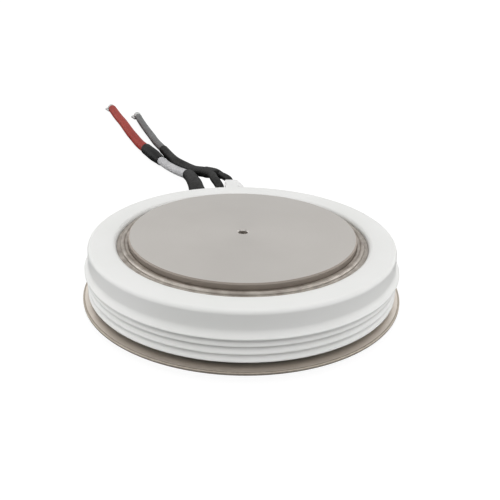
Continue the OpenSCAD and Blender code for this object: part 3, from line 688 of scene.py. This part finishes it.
crest_zs = np.linspace(skirt_z, foot_z + foot_crest_h, rib_count + 1)
crests = [np.array([(rib_r if i else skirt_r) - crest_r, z]) for i, z in enumerate(crest_zs)]
cove_rise = np.sqrt((cove_r + crest_r) ** 2 - (skirt_r - crest_r - band_r - cove_r) ** 2)
cove_centre = np.array([band_r + cove_r, skirt_z + cove_rise])
ceramic_rows = [
    arc((ledge_r + lip_round, top_z - lip_round), lip_round, 180, 90),
    arc((band_r - top_round, top_z - top_round), top_round, 90, 0, steps=15),
    arc(cove_centre, cove_r, 180, bearing(cove_centre, crests[0]) % 360, steps=17),
]
entry = bearing(crests[0], cove_centre)
for upper, lower in zip(crests, crests[1:]):
    along = (lower - upper) / np.linalg.norm(lower - upper)
    half_gap = np.linalg.norm(lower - upper) / 2
    reach = (groove_depth**2 + half_gap**2) / (2 * groove_depth)
    hollow = (upper + lower) / 2 + np.sqrt(reach**2 - half_gap**2) * np.array([-along[1], along[0]])
    hollow_start, hollow_end = bearing(hollow, upper) % 360, bearing(hollow, lower) % 360
    ceramic_rows.append(arc(upper, crest_r, entry, bearing(upper, hollow), steps=13))
    ceramic_rows.append(arc(hollow, reach - crest_r, hollow_start, hollow_end, steps=13)[1:-1])
    entry = bearing(lower, hollow)
foot_turn = -np.degrees(np.arcsin(foot_crest_h / crest_r))
ceramic_rows.append(arc(crests[-1], crest_r, entry, foot_turn, steps=13))
ceramic_rows.append(np.array([(bore_r, foot_z), (bore_r, ledge_z), (ledge_r, ledge_z)]))

white_glaze = finish("white_glaze", (0.8, 0.8, 0.785), rough=0.45, Specular_IOR_Level=0.12)
glaze_drift = mottle(white_glaze, grains=35)
tint(white_glaze, glaze_drift, dark=(0.785, 0.79, 0.77), light=(0.815, 0.815, 0.803))
scuff(white_glaze, mottle(white_glaze, grains=60), smooth=0.42, rough=0.48)
ribbed_ceramic = skin("ribbed_ceramic", revolve(np.vstack(ceramic_rows)), ring=True)
fit(ribbed_ceramic, white_glaze, "white_glaze", "ceramic_ring")

# Diaphragm: a thin nickel sheet between the cathode pole and the ceramic, brazed to both, with a round
# ridge that lets the poles move when the clamp is tightened. The tubes of the three terminals have the
# same plate.
diaphragm_t, diaphragm_bend_r = 0.4, 0.7
diaphragm_in_r, diaphragm_flat_r, diaphragm_out_r = 42.6, 43.4, 46.7
ridge_at_r, ridge_r, ridge_fillet_r = 44.35, 0.6, 0.35
shoulder_z, leg_top_z, seat_z = 23.25, 23.23, 22.5
flat_z = shoulder_z + diaphragm_t / 2
flat_middle_r = (diaphragm_in_r + diaphragm_flat_r) / 2
leg_r = ridge_at_r + ridge_r
ridge = np.array([ridge_at_r, shoulder_z])
fillet_rise = flat_z + ridge_fillet_r - shoulder_z
fillet = ridge + [-np.sqrt((ridge_r + ridge_fillet_r) ** 2 - fillet_rise**2), fillet_rise]
diaphragm_line = np.vstack([
    [(diaphragm_in_r, flat_z), (flat_middle_r, flat_z), (diaphragm_flat_r, flat_z)],
    arc(fillet, ridge_fillet_r, -90, bearing(fillet, ridge))[:-1],
    arc(ridge, ridge_r, bearing(ridge, fillet), 0, steps=17),
    ease_corners([(leg_r, leg_top_z), (leg_r, seat_z), (diaphragm_out_r, seat_z)], diaphragm_bend_r),
])
sheet_nickel = finish("sheet_nickel", (0.42, 0.385, 0.355), rough=0.3, metal=1.0)
braze_stain = mottle(sheet_nickel, grains=260, detail=5)
tint(sheet_nickel, braze_stain, dark=(0.33, 0.295, 0.26), light=(0.54, 0.5, 0.455))
scuff(sheet_nickel, mottle(sheet_nickel, grains=600, detail=4), smooth=0.4, rough=0.6)
emboss(sheet_nickel, braze_stain, depth=0.02 * mm)
ridge_sheet = formed_sheet("ridge_sheet", diaphragm_line, diaphragm_t)
fit(ridge_sheet, sheet_nickel, "sheet_nickel", "cathode_diaphragm")
dress(sheet_nickel, "gate_terminal", "return_terminal", "cathode_terminal")

# Pressed stack inside: the silicon wafer between two molybdenum discs, ground flat, with a silicone bead
# on its edge and a plastic ring that keeps the upper disc central.
molybdenum = finish("molybdenum", (0.32, 0.32, 0.34), rough=0.4, metal=1.0)
grinding = mottle(molybdenum, grains=900, squeeze=(0.04, 1, 1))
tint(molybdenum, grinding, dark=(0.28, 0.28, 0.3), light=(0.36, 0.36, 0.38))
scuff(molybdenum, grinding, smooth=0.32, rough=0.5)
dress(molybdenum, "anode_molybdenum_disc", "cathode_molybdenum_disc")
silicon = finish("silicon", (0.12, 0.13, 0.16), rough=0.12, metal=0.6)
tint(silicon, mottle(silicon, grains=30), dark=(0.1, 0.11, 0.14), light=(0.14, 0.15, 0.18))
scuff(silicon, mottle(silicon, grains=300), smooth=0.08, rough=0.18)
dress(silicon, "silicon_wafer")
pink_silicone = insulation("pink_silicone", dark=(0.6, 0.28, 0.24), light=(0.68, 0.36, 0.31))
dress(pink_silicone, "wafer_edge_seal")
white_ptfe = finish("white_ptfe", (0.78, 0.78, 0.75), rough=0.45, Specular_IOR_Level=0.3)
tint(white_ptfe, mottle(white_ptfe, grains=150), dark=(0.74, 0.74, 0.71), light=(0.8, 0.8, 0.77))
scuff(white_ptfe, mottle(white_ptfe, grains=800), smooth=0.38, rough=0.55)
dress(white_ptfe, "centring_ring")

# Gate contact in the middle of the cathode pole: a silver-plated pin under two cone springs, in a plastic
# cup, with its copper wire out to the gate terminal in a plastic sleeve. Two more wires join the pole to
# its terminals.
silver_plate = finish("silver_plate", (0.8, 0.78, 0.73), rough=0.25, metal=1.0)
tint(silver_plate, mottle(silver_plate, grains=500), dark=(0.74, 0.71, 0.65), light=(0.84, 0.82, 0.78))
scuff(silver_plate, mottle(silver_plate, grains=1200), smooth=0.18, rough=0.34)
dress(silver_plate, "gate_contact")
spring_steel = finish("spring_steel", (0.4, 0.4, 0.42), rough=0.35, metal=1.0)
spring_rings = turned_rings(spring_steel, rings=4000)
tint(spring_steel, spring_rings, dark=(0.34, 0.34, 0.36), light=(0.46, 0.46, 0.48))
scuff(spring_steel, mottle(spring_steel, grains=1500), smooth=0.28, rough=0.42)
dress(spring_steel, "gate_spring_discs")
copper = finish("copper", (0.72, 0.36, 0.2), rough=0.3, metal=1.0)
tint(copper, mottle(copper, grains=700), dark=(0.62, 0.29, 0.15), light=(0.76, 0.4, 0.24))
scuff(copper, mottle(copper, grains=1600), smooth=0.24, rough=0.42)
dress(copper, "gate_wire", "return_wire", "cathode_wire")
dress(white_ptfe, "gate_insulator_cup", "gate_wire_sleeve")

# Studio: a white table and the light of a plain room, with no lamp. The table glows, so that it stays
# white, and throws no light back up. The room is brightest at its two sides, dimmer at the front and the
# back, and a soft patch shines from straight above.
floor_size = 60.0
floor_corners = [(-1, -1, 0), (1, -1, 0), (1, 1, 0), (-1, 1, 0)]
floor_mesh = bpy.data.meshes.new("floor")
floor_mesh.from_pydata(np.array(floor_corners) * floor_size / 2, [], [(0, 1, 2, 3)])
floor = bpy.data.objects.new("floor", floor_mesh)
bpy.context.scene.collection.objects.link(floor)
floor_paint = finish(
    "floor_paint", (0.14, 0.14, 0.14), rough=0.9, Specular_IOR_Level=0.1,
    Emission_Color=(1, 1, 1, 1), Emission_Strength=0.92,
)
floor_mesh.materials.append(floor_paint)
floor.visible_diffuse = False
floor.visible_glossy = False

room = bpy.data.worlds.new("room")
room.use_nodes = True
bpy.context.scene.world = room
towards = node(room, "ShaderNodeTexCoord", {}).outputs["Generated"]
level_way = node(room, "ShaderNodeVectorMath", {0: towards, 1: (1, 1, 0)}, operation="MULTIPLY").outputs[0]
level_way = node(room, "ShaderNodeVectorMath", {0: level_way}, operation="NORMALIZE").outputs[0]
to_back = node(room, "ShaderNodeSeparateXYZ", {"Vector": level_way}).outputs["Y"]
height = node(room, "ShaderNodeSeparateXYZ", {"Vector": towards}).outputs["Z"]


def levels(factor, stops):
    """Grey level that runs through (place, level) stops as the factor runs from -1 to 1."""
    span = {"Value": factor, "From Min": -1, "From Max": 1}
    share = node(room, "ShaderNodeMapRange", span).outputs["Result"]
    ramp = node(room, "ShaderNodeValToRGB", {"Fac": share})
    for place, _ in stops[1:-1]:
        ramp.color_ramp.elements.new((place + 1) / 2)
    for stop, (place, level) in zip(ramp.color_ramp.elements, stops):
        stop.position = (place + 1) / 2
        stop.color = (level, level, level, 1)
    return ramp.outputs["Color"]


def panel(round_stops, height_stops):
    """Light of a part of the room: its level from the front round to the back, times its share by
    height."""
    parts = {0: levels(to_back, round_stops), 1: levels(height, height_stops)}
    return node(room, "ShaderNodeVectorMath", parts, operation="MULTIPLY").outputs[0]


from_horizon = [(-1, 0), (-0.03, 0), (-0.02, 1)]
walls = panel(
    [(-1, 0), (-0.88, 0), (-0.5, 2.75), (0.35, 2.75), (0.8, 0.72), (1, 0.72)],
    [*from_horizon, (0.48, 1), (0.55, 0), (1, 0)],
)
ceiling = panel(
    [(-1, 0), (0.2, 0.05), (0.7, 0.85), (1, 0.85)],
    [(-1, 0), (0.48, 0), (0.55, 1), (0.85, 1), (0.95, 0), (1, 0)],
)
front = panel(
    [(-1, 0.76), (-0.8, 0.76), (-0.5, 0), (1, 0)],
    [*from_horizon, (0.8, 1), (0.9, 0), (1, 0)],
)
ground = levels(height, [(-1, 0.04), (-0.03, 0.04), (-0.02, 0), (1, 0)])
zenith = levels(height, [(-1, 0), (0.75, 0), (0.82, 0.85), (1, 0.85)])
light = walls
for part in (ceiling, front, ground, zenith):
    light = node(room, "ShaderNodeVectorMath", {0: light, 1: part}, operation="ADD").outputs[0]
room.node_tree.links.new(light, room.node_tree.nodes["Background"].inputs["Color"])
bpy.context.scene.view_settings.view_transform = "Standard"
